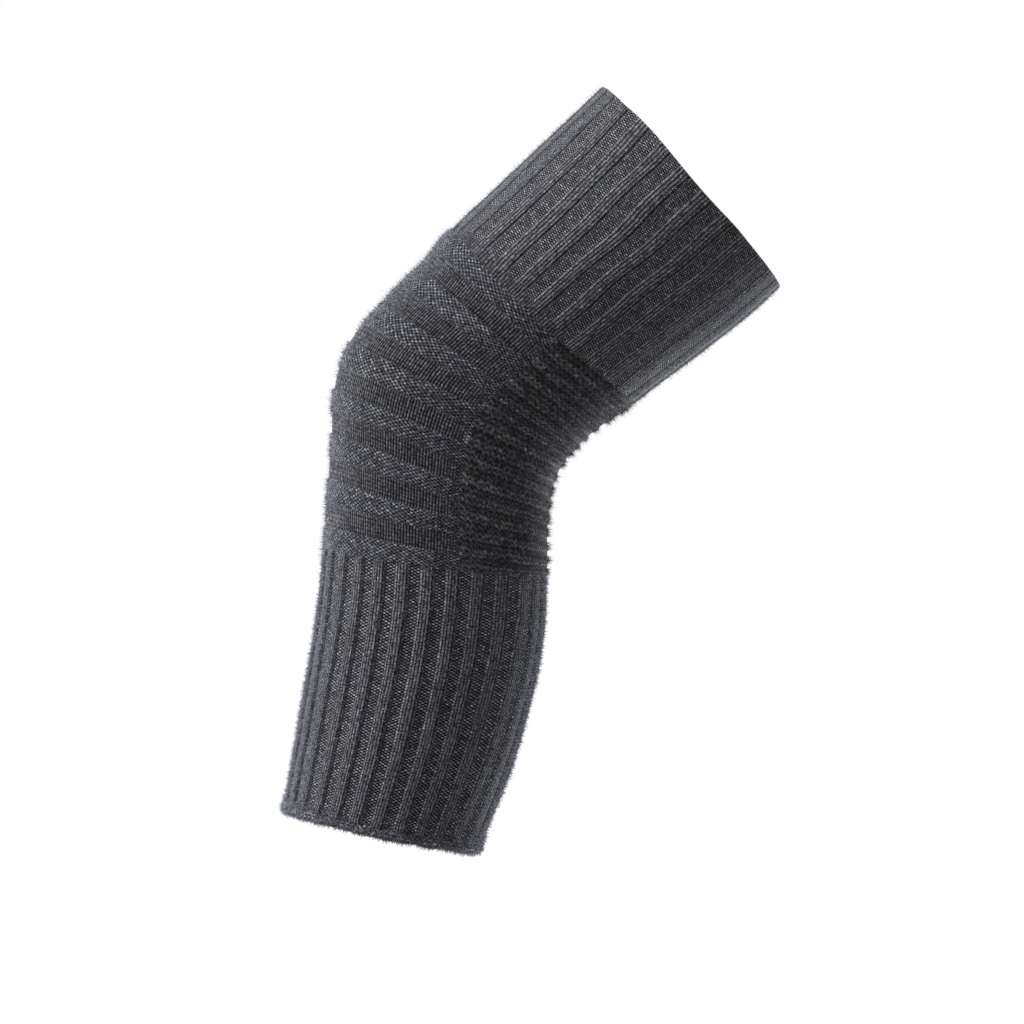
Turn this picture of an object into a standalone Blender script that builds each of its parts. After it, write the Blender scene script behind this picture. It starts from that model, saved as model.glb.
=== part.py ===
"""A knitted knee warmer in the shape it takes on a bent knee: one open tube of five knitted pieces.

Metres, +Z up. The origin is the centre of the knee, inside the hollow. The front of the knee faces -X,
the calf runs down, the thigh runs up towards +X, and the XZ plane is the plane of symmetry.

The tube runs through a row of sections. Each section is an oval that stands across the XZ plane on the line
from its front point to its back point. A place on the tube is (s, turn, depth): s is the distance along the
middle line from the thigh opening in millimetres, turn is the angle round the tube in degrees (0 at the front,
90 at the -Y side, 180 at the back), and depth is how far the place lies under the outermost yarn.
"""

import math
from bisect import bisect_right
from collections import namedtuple

import bmesh
import bpy
from mathutils import Vector

MM = 0.001  # metres in a millimetre

# Driving sizes, in millimetres
WALL = 1.6  # plain cloth under the lowest stitches
THIGH_RELIEF = 0.7  # a knit rib of the thigh stands this far over the purl between ribs
CALF_RELIEF = 1.2  # the same on the calf
BAND_RELIEF = 1.1  # a raised knee band over the deepest line of the sunk one below it
BAND_SHOULDER = 0.55  # depth of a sunk band at its upper edge
WELT_RELIEF = 0.8  # a welt at the back of the knee over the grooves beside it
SEAM_GAP = 0.3  # between two pieces that are knitted to each other
FRONT_SHARE = 0.35  # of the bands' relief is left at the very front, where the knee pulls them flat
HEM_ROLL = 4.6  # thickness of the rolled edge at the calf
HEM_FLARE = 0.9  # the roll stands this far outside the ribs
INSIDE = CALF_RELIEF + WALL  # depth of the plain inner face, all through the tube

# Knitting counts and shares
RIB_COUNT = 28  # ribs round the tube
RIB_SHARE = 0.56  # of a rib's pitch is raised
RIB_FLANK = 0.09  # of a rib's pitch is the slope on each side
THIGH_RIB_TURN = 88.5  # degrees round from the front to the rear edge of one of the thigh's ribs
CALF_RIB_TURN = 90.5  # the same for one of the calf's ribs
PANEL_TURN = 103.0  # degrees from the front to where the front panel meets the back panel
BAND_SHARE = 0.52  # of a band's pitch is raised
BAND_FLANK = 0.9  # length of the slope between a raised and a sunk band
FLAT_TURN = 13.0  # degrees from the front up to which the bands are pulled flat
FULL_TURN = 58.0  # degrees from the front where they have their full relief
WELTS_PER_BAND = 2  # at the back, for each raised and sunk band of the front
WELT_SHIFT = 0.1  # of a welt's pitch from a band's edge to the middle of the groove by it
PLAIN_STRIP = 9.0  # plain knit between the thigh ribs and the front panel

# One row for each section, from the thigh down: where its front and back points lie in the XZ plane, half its
# width in Y, and how far its sides lie nearer to the calf than its front and back do.
Section = namedtuple("Section", "name front_x front_z back_x back_z half_width side_drop")
SECTIONS = [
    Section("thigh opening", 81.0, 191.9, 172.9, 88.6, 66.0, 0.8),
    Section("upper thigh", 54.6, 166.9, 149.1, 67.7, 65.0, 0.5),
    Section("lower thigh", 28.4, 142.0, 123.4, 48.3, 63.0, 2.0),
    Section("knee top", 4.1, 119.0, 98.0, 29.1, 61.0, 5.3),
    Section("band 2", -12.9, 98.9, 82.4, 18.0, 59.5, 1.6),
    Section("band 3", -31.9, 80.9, 71.1, 8.8, 58.5, -0.3),
    Section("band 4", -48.9, 60.8, 63.9, 1.0, 57.5, -0.2),
    Section("band 5", -56.7, 37.1, 56.7, -11.8, 57.0, 0.3),
    Section("band 6", -58.2, 14.4, 54.1, -26.3, 56.5, 1.5),
    Section("band 7", -59.7, -9.3, 53.6, -40.2, 56.0, 2.2),
    Section("band 8", -61.3, -34.0, 53.6, -54.6, 56.0, 2.1),
    Section("knee bottom", -62.3, -45.3, 53.0, -60.3, 56.0, 2.1),
    Section("upper calf", -65.4, -76.2, 51.8, -85.5, 56.5, 1.5),
    Section("calf", -70.6, -108.7, 46.9, -116.4, 56.0, 0.8),
    Section("lower calf", -76.2, -141.6, 35.5, -157.1, 54.5, 0.3),
    Section("calf hem", -82.1, -176.2, 19.4, -197.3, 52.5, 0.0),
]
FIRST_BAND, AFTER_BANDS = "knee top", "knee bottom"

# Mesh steps
STEP_TURN = 8.0  # degrees between the columns of a smooth panel
PLAIN_ROWS = 3  # rows of the plain inner face of a ribbed tube
RIB_ROW_STEP = 24.0  # length between the rows of a ribbed tube
BAND_ROW_STEP = 6.0  # length between the rows of a raised or sunk band
HEM_COLUMNS = 84  # columns round the rolled edge
HEM_CORNERS = 8  # corners of the roll's own outline

CHARCOAL = (0.055, 0.056, 0.062, 1.0)
DARK_CHARCOAL = (0.038, 0.039, 0.044, 1.0)
ROUGHNESS = 0.95


def middle(section):
    """The middle of a section's front-to-back line."""
    return Vector(((section.front_x + section.back_x) / 2, 0, (section.front_z + section.back_z) / 2))


def distances():
    """How far along the middle line each section lies."""
    total, out = 0.0, [0.0]
    for above, below in zip(SECTIONS, SECTIONS[1:]):
        total += (middle(below) - middle(above)).length
        out.append(total)
    return out


KNOTS = distances()
LENGTH = KNOTS[-1]
AT = {section.name: s for section, s in zip(SECTIONS, KNOTS)}


def slope(values, i):
    """The slope of a column of the table at row i, level with its neighbours' chord."""
    low, high = max(i - 1, 0), min(i + 1, len(values) - 1)
    return (values[high] - values[low]) / (KNOTS[high] - KNOTS[low])


def blend(values, s):
    """A smooth curve through a column of the table, at distance s."""
    i = min(max(bisect_right(KNOTS, s) - 1, 0), len(KNOTS) - 2)
    span = KNOTS[i + 1] - KNOTS[i]
    t = (s - KNOTS[i]) / span
    start, end = slope(values, i) * span, slope(values, i + 1) * span
    if t < 0 or t > 1:  # a straight run past the ends
        edge, rate = (values[i], start) if t < 0 else (values[i + 1], end)
        return edge + rate * (t if t < 0 else t - 1)
    return (
        values[i] * (2 * t**3 - 3 * t**2 + 1)
        + start * (t**3 - 2 * t**2 + t)
        + values[i + 1] * (3 * t**2 - 2 * t**3)
        + end * (t**3 - t**2)
    )


COLUMNS = {field: [getattr(section, field) for section in SECTIONS] for field in Section._fields[1:]}


def skin(s, turn):
    """The place on the outermost yarn at distance s and the given turn, in millimetres."""
    c = {field: blend(values, s) for field, values in COLUMNS.items()}
    front = Vector((c["front_x"], 0, c["front_z"]))
    back = Vector((c["back_x"], 0, c["back_z"]))
    across = (front - back) / 2
    towards_calf = Vector((across.z, 0, -across.x)).normalized()
    angle = math.radians(turn)
    place = (front + back) / 2 + across * math.cos(angle)
    place.y = -c["half_width"] * math.sin(angle)
    if towards_calf.z > 0:
        towards_calf.negate()
    return place + towards_calf * c["side_drop"] * math.sin(angle) ** 2


def outward(s, turn):
    """The unit normal of the tube there, pointing out."""
    reach_s, reach_turn = 1.0, 0.5
    along = skin(s + reach_s, turn) - skin(s - reach_s, turn)
    around = skin(s, turn + reach_turn) - skin(s, turn - reach_turn)
    return along.cross(around).normalized()


def place(s, turn, depth):
    """The point at (s, turn, depth), in metres."""
    return (skin(s, turn) - outward(s, turn) * depth) * MM


def smooth_step(x):
    """0 below 0, 1 above 1, and a smooth rise between."""
    x = min(max(x, 0.0), 1.0)
    return x * x * (3 - 2 * x)


def rib_columns(rib_turn):
    """(turn, sunk) for the four corners of each rib's outline, round the tube, where rib_turn is the rear edge
    of one rib's crest."""
    pitch = 360.0 / RIB_COUNT
    crest = RIB_SHARE / 2 * pitch
    middle_turn = rib_turn - crest
    columns = []
    for k in range(RIB_COUNT):
        centre = middle_turn + k * pitch
        foot = crest + RIB_FLANK * pitch
        columns += [(centre - foot, 1), (centre - crest, 0), (centre + crest, 0), (centre + foot, 1)]
    return columns


def even_steps(low, high, step):
    """Numbers from low to high, no further apart than step."""
    count = max(1, math.ceil((high - low) / step))
    return [low + (high - low) * i / count for i in range(count + 1)]


def piece(name, colour, vertices, faces):
    """One named closed solid with its own material, shaded smooth except at sharp edges."""
    mesh = bpy.data.meshes.new(name)
    bm = bmesh.new()
    corners = [bm.verts.new(v) for v in vertices]
    for face in faces:
        bm.faces.new([corners[i] for i in face])
    bmesh.ops.triangulate(bm, faces=bm.faces)
    bm.to_mesh(mesh)
    bm.free()
    mesh.shade_smooth()
    mesh.set_sharp_from_angle(angle=math.radians(50))
    material = bpy.data.materials.new(name + "_knit")
    material.use_nodes = True
    shader = material.node_tree.nodes["Principled BSDF"]
    shader.inputs["Base Color"].default_value = colour
    shader.inputs["Roughness"].default_value = ROUGHNESS
    shader.inputs["Metallic"].default_value = 0.0
    mesh.materials.append(material)
    item = bpy.data.objects.new(name, mesh)
    sleeve.objects.link(item)
    return item


def wall(name, colour, outer, inner, closed):
    """A wall between an outer and an inner grid of points. A grid is a list of rows, each a list of points round
    the tube. Both grids have the same columns, and a wall that isn't closed round the tube has the same rows."""
    vertices = [p for grid in (outer, inner) for row in grid for p in row]
    columns = len(outer[0])
    inner_start = len(outer) * columns

    def out(i, j):
        return i * columns + j % columns

    def inn(i, j):
        return inner_start + i * columns + j % columns

    faces = []
    strips = columns if closed else columns - 1
    for j in range(strips):
        for i in range(len(outer) - 1):
            faces.append((out(i, j), out(i + 1, j), out(i + 1, j + 1), out(i, j + 1)))
        for i in range(len(inner) - 1):
            faces.append((inn(i, j), inn(i, j + 1), inn(i + 1, j + 1), inn(i + 1, j)))
        last_out, last_in = len(outer) - 1, len(inner) - 1
        faces.append((out(0, j), out(0, j + 1), inn(0, j + 1), inn(0, j)))
        faces.append((out(last_out, j), inn(last_in, j), inn(last_in, j + 1), out(last_out, j + 1)))
    if not closed:
        end = columns - 1
        for i in range(len(outer) - 1):
            faces.append((out(i, 0), inn(i, 0), inn(i + 1, 0), out(i + 1, 0)))
            faces.append((out(i, end), out(i + 1, end), inn(i + 1, end), inn(i, end)))
    return piece(name, colour, vertices, faces)


def turn_from_front(turn):
    """How far round a place lies from the front, 0 to 180 degrees on either side."""
    return abs((turn + 180.0) % 360.0 - 180.0)


def ribbed_tube(name, top, bottom, rib_turn, relief, plain_front):
    """A ribbed tube from distance top to bottom. The ribs run out into plain knit over the last plain_front
    millimetres, as far round as the front panel reaches."""
    columns = rib_columns(rib_turn)
    rows = even_steps(top, bottom - plain_front, RIB_ROW_STEP)
    if plain_front:
        rows += [bottom - plain_front * 0.7, bottom]

    def rib_depth(s, turn, sunk):
        ribbed = 1.0
        if plain_front and turn_from_front(turn) < PANEL_TURN:
            ribbed = 1 - smooth_step((s - bottom + plain_front) / (0.3 * plain_front))
        plain_level = BAND_SHOULDER * (1 - ribbed)
        return sunk * relief * ribbed + plain_level

    outer = [[place(s, turn, rib_depth(s, turn, sunk)) for turn, sunk in columns] for s in rows]
    inner_rows = [top + (bottom - top) * i / (PLAIN_ROWS - 1) for i in range(PLAIN_ROWS)]
    inner = [[place(s, turn, INSIDE) for turn, _ in columns] for s in inner_rows]
    return wall(name, CHARCOAL, outer, inner, closed=True)


def band_edges():
    """The distances where each raised band of the knee starts, and where the last one ends."""
    names = [section.name for section in SECTIONS]
    return KNOTS[names.index(FIRST_BAND) : names.index(AFTER_BANDS) + 1]


def front_rows():
    """(s, depth) for the rows of the front panel: raised and sunk bands in turn, ending on a raised one."""
    edges = band_edges()
    rows = []
    for start, end in zip(edges, edges[1:-1]):
        turn_down = start + (end - start) * BAND_SHARE
        rows += [(s, 0.0) for s in even_steps(start + BAND_FLANK / 2, turn_down - BAND_FLANK, BAND_ROW_STEP)]
        sunk = even_steps(turn_down + BAND_FLANK, end - BAND_FLANK / 2, BAND_ROW_STEP)
        deeper = (BAND_RELIEF - BAND_SHOULDER) / (sunk[-1] - sunk[0])
        rows += [(s, BAND_SHOULDER + (s - sunk[0]) * deeper) for s in sunk]
    rows += [(edges[-2] + BAND_FLANK / 2, 0.0), (edges[-1], 0.0)]
    return with_ends(rows)


def back_rows():
    """(s, depth) for the rows of the back panel: a round welt on each half of a band's pitch."""
    edges = band_edges()
    rows = []
    for index, (start, end) in enumerate(zip(edges, edges[1:])):
        welts = WELTS_PER_BAND if index < len(edges) - 2 else 1
        length = (end - start) / welts
        for k in range(welts):
            low = start + (k + WELT_SHIFT) * length
            rows += [(low, WELT_RELIEF), (low + 0.3 * length, 0.0), (low + 0.7 * length, 0.0)]
    return with_ends(rows + [(edges[-1], WELT_RELIEF)])


def with_ends(rows):
    """The rows, with the first and last moved in to leave half a seam's gap at each end of the panel."""
    top, bottom = AT[FIRST_BAND] + SEAM_GAP / 2, AT[AFTER_BANDS] - SEAM_GAP / 2
    kept = [(s, depth) for s, depth in rows if top + 0.2 < s < bottom - 0.2]
    return [(top, rows[0][1])] + kept + [(bottom, rows[-1][1])]


def seam_turn():
    """Half the gap between the front and back panels, as an angle at the side of the knee."""
    return math.degrees(SEAM_GAP / 2 / SECTIONS[7].half_width)


def relief_share(turn):
    """The share of the knee's relief at a turn: less at the front, where the knee pulls the cloth flat."""
    risen = smooth_step((turn_from_front(turn) - FLAT_TURN) / (FULL_TURN - FLAT_TURN))
    return FRONT_SHARE + (1 - FRONT_SHARE) * risen


def knee_panel(name, colour, rows, first_turn, last_turn):
    """A panel of the knee between two turns, with the given rows of (s, depth) outside and plain inside."""
    turns = even_steps(first_turn, last_turn, STEP_TURN)
    outer = [[place(s, turn, depth * relief_share(turn)) for turn in turns] for s, depth in rows]
    inner = [[place(s, turn, INSIDE) for turn in turns] for s, _ in rows]
    return wall(name, colour, outer, inner, closed=False)


def rolled_hem(name, top):
    """The cast-off edge: a soft roll below the calf ribs, standing a little outside them."""
    around, corners = HEM_COLUMNS, HEM_CORNERS
    radius = HEM_ROLL / 2
    half_corner = math.pi / corners
    centre_s, centre_depth = top + radius * math.cos(half_corner), radius - HEM_FLARE
    vertices, faces = [], []
    for j in range(around):
        turn = 360.0 * j / around
        for k in range(corners):
            angle = 2 * half_corner * k + half_corner
            s = centre_s - radius * math.cos(angle)
            vertices.append(place(s, turn, centre_depth - radius * math.sin(angle)))
    for j in range(around):
        for k in range(corners):
            after, beside = (k + 1) % corners, (j + 1) % around
            faces.append(
                (j * corners + k, j * corners + after, beside * corners + after, beside * corners + k)
            )
    return piece(name, DARK_CHARCOAL, vertices, faces)


for old in list(bpy.data.objects):
    bpy.data.objects.remove(old)
sleeve = bpy.data.collections.new("knee_warmer")
bpy.context.scene.collection.children.link(sleeve)

ribbed_tube("thigh_rib", 0.0, AT[FIRST_BAND] - SEAM_GAP / 2, THIGH_RIB_TURN, THIGH_RELIEF, PLAIN_STRIP)
knee_panel("knee_front", CHARCOAL, front_rows(), -PANEL_TURN + seam_turn(), PANEL_TURN - seam_turn())
knee_panel("knee_back", CHARCOAL, back_rows(), PANEL_TURN + seam_turn(), 360.0 - PANEL_TURN - seam_turn())
ribbed_tube("calf_rib", AT[AFTER_BANDS] + SEAM_GAP / 2, LENGTH - SEAM_GAP, CALF_RIB_TURN, CALF_RELIEF, 0.0)
rolled_hem("calf_hem", LENGTH)
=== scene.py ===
"""The looks of a knitted knee warmer: its stitches, fuzz and yarn, in studio light.

The tube's form repeats the part's own sections. Lengths are in millimetres up to the point where a mesh is
made, which is in metres. A place on the tube is (s, wale, depth): s is the distance along the middle line
from the thigh opening, wale counts the columns of stitches round the tube (0 at the front, and a quarter of
them on at the -Y side), and depth is how far the place lies under the skin, where the ribs' crests are.
"""

import math
from collections import namedtuple

import bpy
import numpy as np
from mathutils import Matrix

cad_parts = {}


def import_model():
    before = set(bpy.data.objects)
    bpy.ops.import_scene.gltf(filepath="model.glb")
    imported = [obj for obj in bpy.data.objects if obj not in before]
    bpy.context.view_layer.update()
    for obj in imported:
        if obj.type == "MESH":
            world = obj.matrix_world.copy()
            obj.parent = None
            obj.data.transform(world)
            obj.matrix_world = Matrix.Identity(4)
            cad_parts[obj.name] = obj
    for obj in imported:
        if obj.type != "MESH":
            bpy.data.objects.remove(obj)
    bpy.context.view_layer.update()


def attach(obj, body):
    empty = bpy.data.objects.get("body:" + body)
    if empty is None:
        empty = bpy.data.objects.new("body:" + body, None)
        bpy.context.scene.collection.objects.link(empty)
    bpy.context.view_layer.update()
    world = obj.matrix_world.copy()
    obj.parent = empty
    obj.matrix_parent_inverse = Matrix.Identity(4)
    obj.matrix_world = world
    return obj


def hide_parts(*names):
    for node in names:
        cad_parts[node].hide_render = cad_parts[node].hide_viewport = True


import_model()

MM = 0.001  # metres in a millimetre

# ---------------------------------------------------------------- sizes of the garment, in millimetres

WALL = 1.6  # cloth from CALF_RELIEF down, before the inner face follows the outer one
THIGH_RELIEF = 0.7  # scale of the thigh's ribbing
CALF_RELIEF = 1.2  # the same on the calf
PURL_SINK = 0.8  # of that scale the purl lies under the ribs
EDGE_SINK = 0.12  # of it the purl lies lower still, just behind a rib
CROWN = 0.12  # of it the edges of a rib lie under its middle
RIB_GROOVE = 0.14  # depth of the groove between two wales of a rib
PLAIN_GROOVE = 0.2  # the same on the sunk bands and the plain strip
INSIDE = CALF_RELIEF + WALL  # depth of the inner face, but for the next two
INSIDE_SHARE = 0.35  # of the outer face's depth is taken off the inner one's
INSIDE_MARGIN = 0.1  # is added to it
BAND_RELIEF = 1.1  # a raised knee band over the lower edge of the sunk one below it, at the sides
BAND_LIP = 0.1  # from a raised band's middle down to its edges, and from BAND_RELIEF to the lowest line
BAND_SHOULDER = 0.55  # depth of a sunk band at its upper edge
BAND_SHARE = 0.52  # of a band's pitch is raised
BAND_FLANK = 0.9  # length of the slope up to a raised band, and half that of the slope down from it
WELT_RELIEF = 0.45  # a welt at the back of the knee over the grooves beside it
WELTS_PER_BAND = 2  # at the back, for each raised and sunk band of the front
WELT_SHIFT = 0.1  # of a welt's pitch from a band's edge to the middle of the groove by it
PLAIN_STRIP = 7.0  # plain knit between the thigh ribs and the front panel
STRIP_DEPTH = 0.25  # of that strip
FRONT_SHARE = 0.35  # of the bands' relief is left at the very front, where the knee pulls them flat
HEM_ROLL = 5.0  # thickness of the rolled edge at the calf
HEM_FLARE = 0.9  # the roll stands this far outside the ribs
CALF_FLARE = 0.7  # the calf's ribs open by this
CALF_FLARE_LENGTH = 8  # over their last stretch
LIP_LENGTH, LIP_SINK = 1.1, 0.9  # how long and how deep the thigh opening's edge is rounded off
KNEE_SWELL = 0.9  # the top of the knee's front stands this far out
UNEVEN = 0.18  # about how far the whole knitting wavers in and out
PATTERN_STEP = 1.4  # length over which one pattern passes into the next along the sleeve

OPENING_WAVE = 0.7  # the thigh opening's edge waves this far along the sleeve
OPENING_LIFT = 0.5  # the whole edge lies this far up
OPENING_REACH = 25  # how far down the sleeve both fade away

# One row for each section, from the thigh down: where its front and back points lie in the XZ plane, half
# its width in Y, and how far its sides lie nearer to the calf than its front and back do.
Section = namedtuple("Section", "name front_x front_z back_x back_z half_width side_drop")
SECTIONS = [
    Section("thigh opening", 81.0, 191.9, 172.9, 88.6, 66.0, 0.8),
    Section("upper thigh", 54.6, 166.9, 149.1, 67.7, 65.0, 0.5),
    Section("lower thigh", 28.4, 142.0, 123.4, 48.3, 63.0, 2.0),
    Section("knee top", 4.1, 119.0, 98.0, 29.1, 61.0, 5.3),
    Section("band 2", -12.9, 98.9, 82.4, 18.0, 59.5, 1.6),
    Section("band 3", -31.9, 80.9, 71.1, 8.8, 58.5, -0.3),
    Section("band 4", -48.9, 60.8, 63.9, 1.0, 57.5, -0.2),
    Section("band 5", -56.7, 37.1, 56.7, -11.8, 57.0, 0.3),
    Section("band 6", -58.2, 14.4, 54.1, -26.3, 56.5, 1.5),
    Section("band 7", -59.7, -9.3, 53.6, -40.2, 56.0, 2.2),
    Section("band 8", -61.3, -34.0, 53.6, -54.6, 56.0, 2.1),
    Section("knee bottom", -62.3, -45.3, 53.0, -60.3, 56.0, 2.1),
    Section("upper calf", -65.4, -76.2, 51.8, -85.5, 56.5, 1.5),
    Section("calf", -70.6, -108.7, 46.9, -116.4, 56.0, 0.8),
    Section("lower calf", -76.2, -141.6, 35.5, -157.1, 54.5, 0.3),
    Section("calf hem", -82.1, -176.2, 19.4, -197.3, 52.5, 0.0),
]
NAMES = [section.name for section in SECTIONS]
TABLE = np.array([section[1:] for section in SECTIONS])
FRONT_X, FRONT_Z, BACK_X, BACK_Z, HALF_WIDTH, SIDE_DROP = range(6)

# ---------------------------------------------------------------- counts of the knitting

WALES = 224  # columns of stitches round the tube
RIB_WALES = 8  # wales to a rib and the purl beside it
PURL_WALES = 3.7  # of them lie in the sunk purl
SEAM_WALE = 64  # where the front panel of the knee meets the back one, on each side
THIGH_GROOVE = 55.0  # the wale at the rear edge of one of the thigh's ribs, where purl begins
CALF_GROOVE = 56.4  # the same on the calf
THIGH_COURSE = 0.59  # length of one row of stitches
CALF_COURSE = 0.805
FRONT_COURSES = 22  # rows of stitches to one raised and one sunk band, on the knee's front
BACK_COURSES = 12  # the same at its back
BACK_FIRST = 1.7  # the back panel's rows are counted from this many below its top
POINTS_PER_WALE = 4
COLUMNS = WALES * POINTS_PER_WALE
INNER_ROWS = 8  # rows of points on the plain inner face of a piece
RIM_STEP = (0, 3)  # wales and courses from the outer to the inner edge of a rim

rng = np.random.default_rng(7)


# ---------------------------------------------------------------- the tube

def smooth_step(x):
    x = np.clip(x, 0, 1)
    return x * x * (3 - 2 * x)


def window(x, low, risen, falling, high):
    """0 outside low to high and 1 from risen to falling, with smooth slopes between."""
    return smooth_step((x - low) / (risen - low)) * smooth_step((high - x) / (high - falling))


def distances():
    """How far along the middle line each section lies."""
    middle = (TABLE[:, [FRONT_X, FRONT_Z]] + TABLE[:, [BACK_X, BACK_Z]]) / 2
    steps = np.linalg.norm(np.diff(middle, axis=0), axis=1)
    return np.concatenate([[0.0], np.cumsum(steps)])


KNOTS = distances()
LENGTH = KNOTS[-1]
KNEE_TOP = KNOTS[NAMES.index("knee top")]
KNEE_BOTTOM = KNOTS[NAMES.index("knee bottom")]
BAND_EDGES = KNOTS[NAMES.index("knee top") : NAMES.index("knee bottom") + 1]
BAND_NUMBERS = np.append(np.arange(len(BAND_EDGES) - 1), len(BAND_EDGES) - 1.5)  # the last is half a band


def slopes():
    """The slope of each column of the table at each section: that of the chord between its neighbours."""
    low = np.maximum(np.arange(len(KNOTS)) - 1, 0)
    high = np.minimum(np.arange(len(KNOTS)) + 1, len(KNOTS) - 1)
    return (TABLE[high] - TABLE[low]) / (KNOTS[high] - KNOTS[low])[:, None]


SLOPES = slopes()


def blended(s):
    """The table's columns at distances s, on smooth curves through its rows."""
    i = np.clip(np.searchsorted(KNOTS, s, side="right") - 1, 0, len(KNOTS) - 2)
    span = (KNOTS[i + 1] - KNOTS[i])[..., None]
    t = (s - KNOTS[i])[..., None] / span
    inner = np.clip(t, 0, 1)
    start, end = SLOPES[i] * span, SLOPES[i + 1] * span
    curve = (
        TABLE[i] * (2 * inner**3 - 3 * inner**2 + 1)
        + start * (inner**3 - 2 * inner**2 + inner)
        + TABLE[i + 1] * (3 * inner**2 - 2 * inner**3)
        + end * (inner**3 - inner**2)
    )
    return curve + start * np.minimum(t, 0) + end * np.maximum(t - 1, 0)


def from_front(wale):
    """How many wales lie between a place and the front, 0 to 112 on either side."""
    return np.abs((wale + WALES / 2) % WALES - WALES / 2)


def opening_wave(wale):
    """How far the thigh opening's edge is pulled towards the calf there."""
    across = from_front(wale)
    start, wavelength = 48, 46
    wave = OPENING_WAVE * np.sin((across - start) * (2 * math.pi / wavelength))
    return wave * window(across, 20, 30, 68, 80) - OPENING_LIFT


def skin(s, wale):
    """The place at depth 0, for arrays of distances and wales of one shape."""
    s = s + opening_wave(wale) * np.clip(1 - s / OPENING_REACH, 0, 1)
    c = blended(s)
    angle = wale * (2 * math.pi / WALES)
    across_x = (c[..., FRONT_X] - c[..., BACK_X]) / 2
    across_z = (c[..., FRONT_Z] - c[..., BACK_Z]) / 2
    length = np.hypot(across_x, across_z)
    drop = c[..., SIDE_DROP] * np.sin(angle) ** 2
    x = (c[..., FRONT_X] + c[..., BACK_X]) / 2 + across_x * np.cos(angle) - across_z / length * drop
    z = (c[..., FRONT_Z] + c[..., BACK_Z]) / 2 + across_z * np.cos(angle) + across_x / length * drop
    y = -c[..., HALF_WIDTH] * np.sin(angle)
    return np.stack([x, y, z], axis=-1)


def unit(vectors):
    return vectors / np.linalg.norm(vectors, axis=-1, keepdims=True)


def directions(s, wale):
    """Unit vectors of the tube there: along it towards the calf, round it, and out of it."""
    reach_s, reach_wale = 1.0, 0.3
    along = skin(s + reach_s, wale) - skin(s - reach_s, wale)
    around = skin(s, wale + reach_wale) - skin(s, wale - reach_wale)
    return unit(along), unit(around), unit(np.cross(along, around))


def place(s, wale, depth):
    """The points at (s, wale, depth), in metres."""
    return (skin(s, wale) - directions(s, wale)[2] * depth[..., None]) * MM


# ---------------------------------------------------------------- the raised and sunk knitting

def ridge(x, centre, width):
    """1 at the centre, falling to nothing a few widths away."""
    return np.exp(-(((x - centre) / width) ** 2))


def waver(s, wale, seed):
    """A slow, uneven wave over the whole tube, from a few sines that close round it. Most of it lies
    between -1 and 1, and in a few places it reaches 1.6 either way."""
    source = np.random.default_rng(seed)
    total = 0.0
    for turns in (2, 3, 5, 8, 13):
        length = source.uniform(35, 120)
        phase = source.uniform(0, 2 * math.pi)
        total = total + np.sin(turns * wale * (2 * math.pi / WALES) + s * (2 * math.pi / length) + phase)
    return total / 3


def wale_grooves(wale):
    """1 between two wales, 0 on the middle of one."""
    return 0.5 + 0.5 * np.cos(2 * math.pi * wale)


def blend(share, a, b):
    """a where share is 0 and b where it is 1."""
    return a * (1 - share) + b * share


# What lies at a place is an array of three: depth, purl (1 in purl and 0 in knit) and shade, which the
# materials multiply into the yarn's colour as painted light and shade (below 1 in a crease, as painted shade,
# and above 1 where light is painted).

# groove is a wale where purl begins, flank how many wales the slope between rib and purl takes, and crease
# how dark the painted shade along the line behind each rib is.
Ribbing = namedtuple("Ribbing", "groove relief flank crease")
THIGH_RIBS = Ribbing(THIGH_GROOVE, THIGH_RELIEF, 0.9, 0.88)
CALF_RIBS = Ribbing(CALF_GROOVE, CALF_RELIEF, 0.65, 0.95)


def ribs(wale, kind):
    """Ribbing, where wale is counted across the ribs as they lie."""
    p = (wale - kind.groove) % RIB_WALES
    raised = smooth_step((p - PURL_WALES) / kind.flank) + 1 - smooth_step(p / kind.flank)
    centre = (PURL_WALES + kind.flank + RIB_WALES) / 2
    off_centre = np.abs((p - centre + RIB_WALES / 2) % RIB_WALES - RIB_WALES / 2)
    crown = CROWN * (off_centre / (RIB_WALES - centre)) ** 3
    sink = PURL_SINK * (1 - raised) + EDGE_SINK * ridge(p, 0.7, 0.5) + raised * crown
    depth = sink * kind.relief + RIB_GROOVE * raised * wale_grooves(wale)
    # crease is painted shade behind each rib, lit_wale a painted highlight along the rib's edge beside the
    # purl, and dim_wale painted shade on the wale after that.
    crease = kind.crease * ridge((p + 1) % RIB_WALES, 0.85, 0.38)
    lit_wale = 0.25 * ridge(p, 4.1, 0.5)
    dim_wale = 0.12 * ridge(p, 5.2, 0.5)
    return np.stack([depth, 1 - raised, 1 - crease + lit_wale - dim_wale])


def side_of(wale):
    """1 on the -Y side and -1 on the other."""
    return np.where((wale + WALES / 2) % WALES < WALES / 2, -1.0, 1.0)


def thigh_bend(s, wale):
    """How many wales nearer to the front, on the -Y side, the thigh's ribs lie than straight ones."""
    across = from_front(wale)
    lean_width = 44
    leaning = 2.2 * np.sin(across * (math.pi / lean_width)) ** 2 * (across < lean_width)
    fan = 0.9 * (1 - s / 45) * np.clip((62 - across) / 20, -1, 1) * window(across, 28, 38, 92, 104)
    corner = 1.6 * np.clip(1 - s / 30, 0, 1) * window(across, 4, 16, 28, 40)
    return side_of(wale) * (leaning + fan + corner) + 0.3 * waver(s, wale, 3)


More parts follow.
